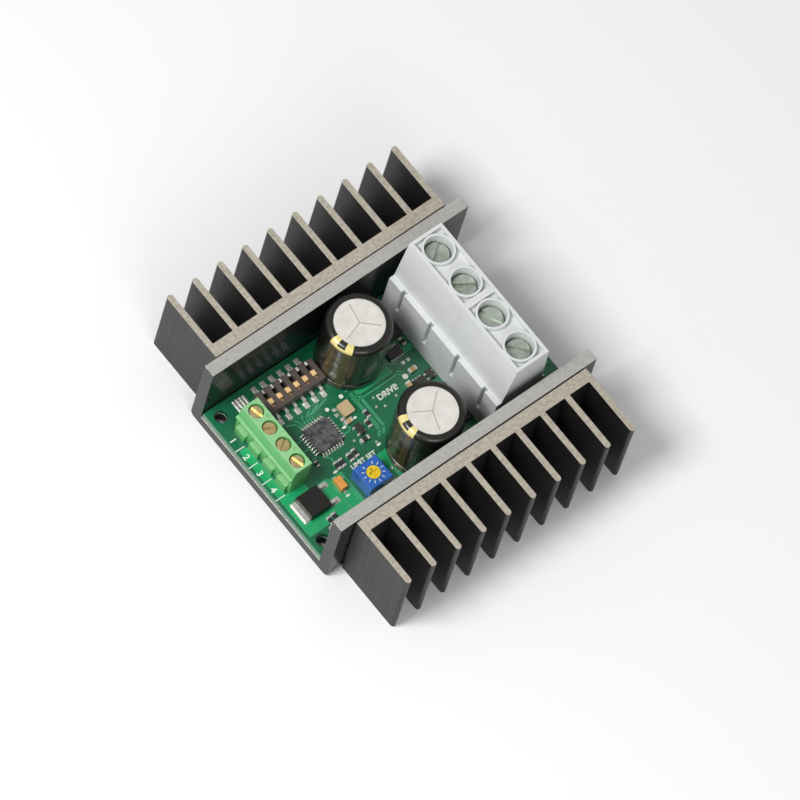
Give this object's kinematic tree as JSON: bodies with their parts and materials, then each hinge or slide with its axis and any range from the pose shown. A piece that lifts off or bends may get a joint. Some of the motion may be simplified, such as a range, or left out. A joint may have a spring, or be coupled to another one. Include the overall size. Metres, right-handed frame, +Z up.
{
  "type": "motor driver module",
  "caption": "Brushed DC motor driver board in an aluminium channel with finned heatsinks, screw terminals, setting switches and a trimmer.",
  "frame": {"origin": "middle of the channel's underside", "axes": "+X along the channel from the control terminal to the power terminal, +Y across it towards the setting switches, +Z up, away from the mounting surface"},
  "size_m": [0.0762, 0.0888, 0.0346],
  "materials": {
    "mill_aluminium": "bare extruded aluminium, sawn ends and edges",
    "thermal_tape": "thin adhesive tape",
    "black_anodised_aluminium": "black anodised, sawn edges bare",
    "thermal_pad": "soft insulating pad",
    "green_solder_mask": "glass-epoxy laminate with glossy solder mask",
    "tinned_metal": "tin plated",
    "black_epoxy": "moulded epoxy",
    "brown_switch_plastic": "moulded plastic",
    "cream_plastic": "moulded plastic",
    "green_polyamide": "moulded polyamide",
    "light_grey_polyamide": "moulded polyamide",
    "brass": "brass screw",
    "zinc_plated_steel": "zinc plated",
    "nickel_plated_cage": "nickel plated",
    "tinned_copper": "tinned copper",
    "black_sleeve": "heat-shrink sleeve",
    "can_aluminium": "drawn aluminium",
    "bung_rubber": "rubber seal",
    "orange_epoxy": "moulded epoxy",
    "tan_ceramic": "ceramic cap",
    "blue_plastic": "moulded plastic",
    "yellow_plastic": "moulded plastic",
    "led_lens": "clear moulded lens over a white base",
    "resistor_ceramic": "ceramic chip with tinned ends",
    "capacitor_ceramic": "ceramic chip with tinned ends"
  },
  "bodies": {
    "board_assembly": {"board_thermal_pad": "thermal_pad", "capacitor_a_can": "can_aluminium", "capacitor_a_sleeve": "black_sleeve", "capacitor_b_can": "can_aluminium", "capacitor_b_sleeve": "black_sleeve", "capacitor_bungs": "bung_rubber", "capacitor_leads": "tinned_metal", "chassis_channel": "mill_aluminium", "chip_capacitors": "capacitor_ceramic", "chip_resistors": "resistor_ceramic", "circuit_board": "green_solder_mask", "control_contacts": "tinned_copper", "control_housing_a": "green_polyamide", "control_housing_b": "green_polyamide", "dip_switch_housing": "brown_switch_plastic", "dip_switch_leads": "tinned_metal", "heatsink_a": "black_anodised_aluminium", "heatsink_b": "black_anodised_aluminium", "heatsink_tape_a": "thermal_tape", "heatsink_tape_b": "thermal_tape", "indicator_leds": "led_lens", "microcontroller_body": "black_epoxy", "microcontroller_leads": "tinned_metal", "power_contacts": "tinned_copper", "power_housing_a": "light_grey_polyamide", "power_housing_b": "light_grey_polyamide", "power_transistors": "black_epoxy", "regulator_body": "black_epoxy", "regulator_leads": "tinned_metal", "resonator": "tan_ceramic", "small_package_bodies": "black_epoxy", "small_package_leads": "tinned_metal", "tantalum_capacitor": "orange_epoxy", "tinned_pads": "tinned_metal", "trimpot_housing": "blue_plastic", "trimpot_pins": "tinned_metal"},
    "dip_slider_1": {"dip_slider_1": "cream_plastic"},
    "dip_slider_2": {"dip_slider_2": "cream_plastic"},
    "dip_slider_3": {"dip_slider_3": "cream_plastic"},
    "dip_slider_4": {"dip_slider_4": "cream_plastic"},
    "dip_slider_5": {"dip_slider_5": "cream_plastic"},
    "dip_slider_6": {"dip_slider_6": "cream_plastic"},
    "trimpot_rotor": {"trimpot_rotor": "yellow_plastic"},
    "control_screw_1": {"control_screw_1": "brass"},
    "control_cage_1": {"control_cage_1": "nickel_plated_cage"},
    "control_screw_2": {"control_screw_2": "brass"},
    "control_cage_2": {"control_cage_2": "nickel_plated_cage"},
    "control_screw_3": {"control_screw_3": "brass"},
    "control_cage_3": {"control_cage_3": "nickel_plated_cage"},
    "control_screw_4": {"control_screw_4": "brass"},
    "control_cage_4": {"control_cage_4": "nickel_plated_cage"},
    "power_screw_1": {"power_screw_1": "zinc_plated_steel"},
    "power_cage_1": {"power_cage_1": "nickel_plated_cage"},
    "power_screw_2": {"power_screw_2": "zinc_plated_steel"},
    "power_cage_2": {"power_cage_2": "nickel_plated_cage"},
    "power_screw_3": {"power_screw_3": "zinc_plated_steel"},
    "power_cage_3": {"power_cage_3": "nickel_plated_cage"},
    "power_screw_4": {"power_screw_4": "zinc_plated_steel"},
    "power_cage_4": {"power_cage_4": "nickel_plated_cage"}
  },
  "joints": [
    {"name": "dip_slide_1", "type": "slide", "parent": "board_assembly", "child": "dip_slider_1", "axis": [0, 1, 0], "range_m": [0, 0.001]},
    {"name": "dip_slide_2", "type": "slide", "parent": "board_assembly", "child": "dip_slider_2", "axis": [0, 1, 0], "range_m": [0, 0.001]},
    {"name": "dip_slide_3", "type": "slide", "parent": "board_assembly", "child": "dip_slider_3", "axis": [0, 1, 0], "range_m": [0, 0.001]},
    {"name": "dip_slide_4", "type": "slide", "parent": "board_assembly", "child": "dip_slider_4", "axis": [0, 1, 0], "range_m": [0, 0.001]},
    {"name": "dip_slide_5", "type": "slide", "parent": "board_assembly", "child": "dip_slider_5", "axis": [0, 1, 0], "range_m": [0, 0.001]},
    {"name": "dip_slide_6", "type": "slide", "parent": "board_assembly", "child": "dip_slider_6", "axis": [0, 1, 0], "range_m": [0, 0.001]},
    {"name": "trimpot_turn", "type": "hinge", "parent": "board_assembly", "child": "trimpot_rotor", "pos_m": [-0.0165, -0.0138, 0.009], "axis": [0, 0, 1], "range_deg": [-130, 130]},
    {"name": "control_screw_1_turn", "type": "hinge", "parent": "board_assembly", "child": "control_screw_1", "pos_m": [-0.03125, 0.0126, 0.012], "axis": [0, 0, 1], "range_deg": [-1121, 0]},
    {"name": "control_cage_1_lift", "type": "slide", "parent": "board_assembly", "child": "control_cage_1", "axis": [0, 0, 1], "range_m": [0, 0.0014]},
    {"name": "control_screw_2_turn", "type": "hinge", "parent": "board_assembly", "child": "control_screw_2", "pos_m": [-0.03125, 0.00751, 0.012], "axis": [0, 0, 1], "range_deg": [-1121, 0]},
    {"name": "control_cage_2_lift", "type": "slide", "parent": "board_assembly", "child": "control_cage_2", "axis": [0, 0, 1], "range_m": [0, 0.0014]},
    {"name": "control_screw_3_turn", "type": "hinge", "parent": "board_assembly", "child": "control_screw_3", "pos_m": [-0.03125, 0.00244, 0.012], "axis": [0, 0, 1], "range_deg": [-1121, 0]},
    {"name": "control_cage_3_lift", "type": "slide", "parent": "board_assembly", "child": "control_cage_3", "axis": [0, 0, 1], "range_m": [0, 0.0014]},
    {"name": "control_screw_4_turn", "type": "hinge", "parent": "board_assembly", "child": "control_screw_4", "pos_m": [-0.03125, -0.00265, 0.012], "axis": [0, 0, 1], "range_deg": [-1121, 0]},
    {"name": "control_cage_4_lift", "type": "slide", "parent": "board_assembly", "child": "control_cage_4", "axis": [0, 0, 1], "range_m": [0, 0.0014]},
    {"name": "power_screw_1_turn", "type": "hinge", "parent": "board_assembly", "child": "power_screw_1", "pos_m": [0.0215, 0.015, 0.028], "axis": [0, 0, 1], "range_deg": [-1852, 0]},
    {"name": "power_cage_1_lift", "type": "slide", "parent": "board_assembly", "child": "power_cage_1", "axis": [0, 0, 1], "range_m": [0, 0.0036]},
    {"name": "power_screw_2_turn", "type": "hinge", "parent": "board_assembly", "child": "power_screw_2", "pos_m": [0.0215, 0.005, 0.028], "axis": [0, 0, 1], "range_deg": [-1852, 0]},
    {"name": "power_cage_2_lift", "type": "slide", "parent": "board_assembly", "child": "power_cage_2", "axis": [0, 0, 1], "range_m": [0, 0.0036]},
    {"name": "power_screw_3_turn", "type": "hinge", "parent": "board_assembly", "child": "power_screw_3", "pos_m": [0.0215, -0.005, 0.028], "axis": [0, 0, 1], "range_deg": [-1852, 0]},
    {"name": "power_cage_3_lift", "type": "slide", "parent": "board_assembly", "child": "power_cage_3", "axis": [0, 0, 1], "range_m": [0, 0.0036]},
    {"name": "power_screw_4_turn", "type": "hinge", "parent": "board_assembly", "child": "power_screw_4", "pos_m": [0.0215, -0.015, 0.028], "axis": [0, 0, 1], "range_deg": [-1852, 0]},
    {"name": "power_cage_4_lift", "type": "slide", "parent": "board_assembly", "child": "power_cage_4", "axis": [0, 0, 1], "range_m": [0, 0.0036]}
  ],
  "couplings": [
    {"joint": "control_screw_1_turn", "follows": "control_cage_1_lift", "rad_per_m": -13963},
    {"joint": "control_screw_2_turn", "follows": "control_cage_2_lift", "rad_per_m": -13963},
    {"joint": "control_screw_3_turn", "follows": "control_cage_3_lift", "rad_per_m": -13963},
    {"joint": "control_screw_4_turn", "follows": "control_cage_4_lift", "rad_per_m": -13963},
    {"joint": "power_screw_1_turn", "follows": "power_cage_1_lift", "rad_per_m": -8976},
    {"joint": "power_screw_2_turn", "follows": "power_cage_2_lift", "rad_per_m": -8976},
    {"joint": "power_screw_3_turn", "follows": "power_cage_3_lift", "rad_per_m": -8976},
    {"joint": "power_screw_4_turn", "follows": "power_cage_4_lift", "rad_per_m": -8976}
  ]
}
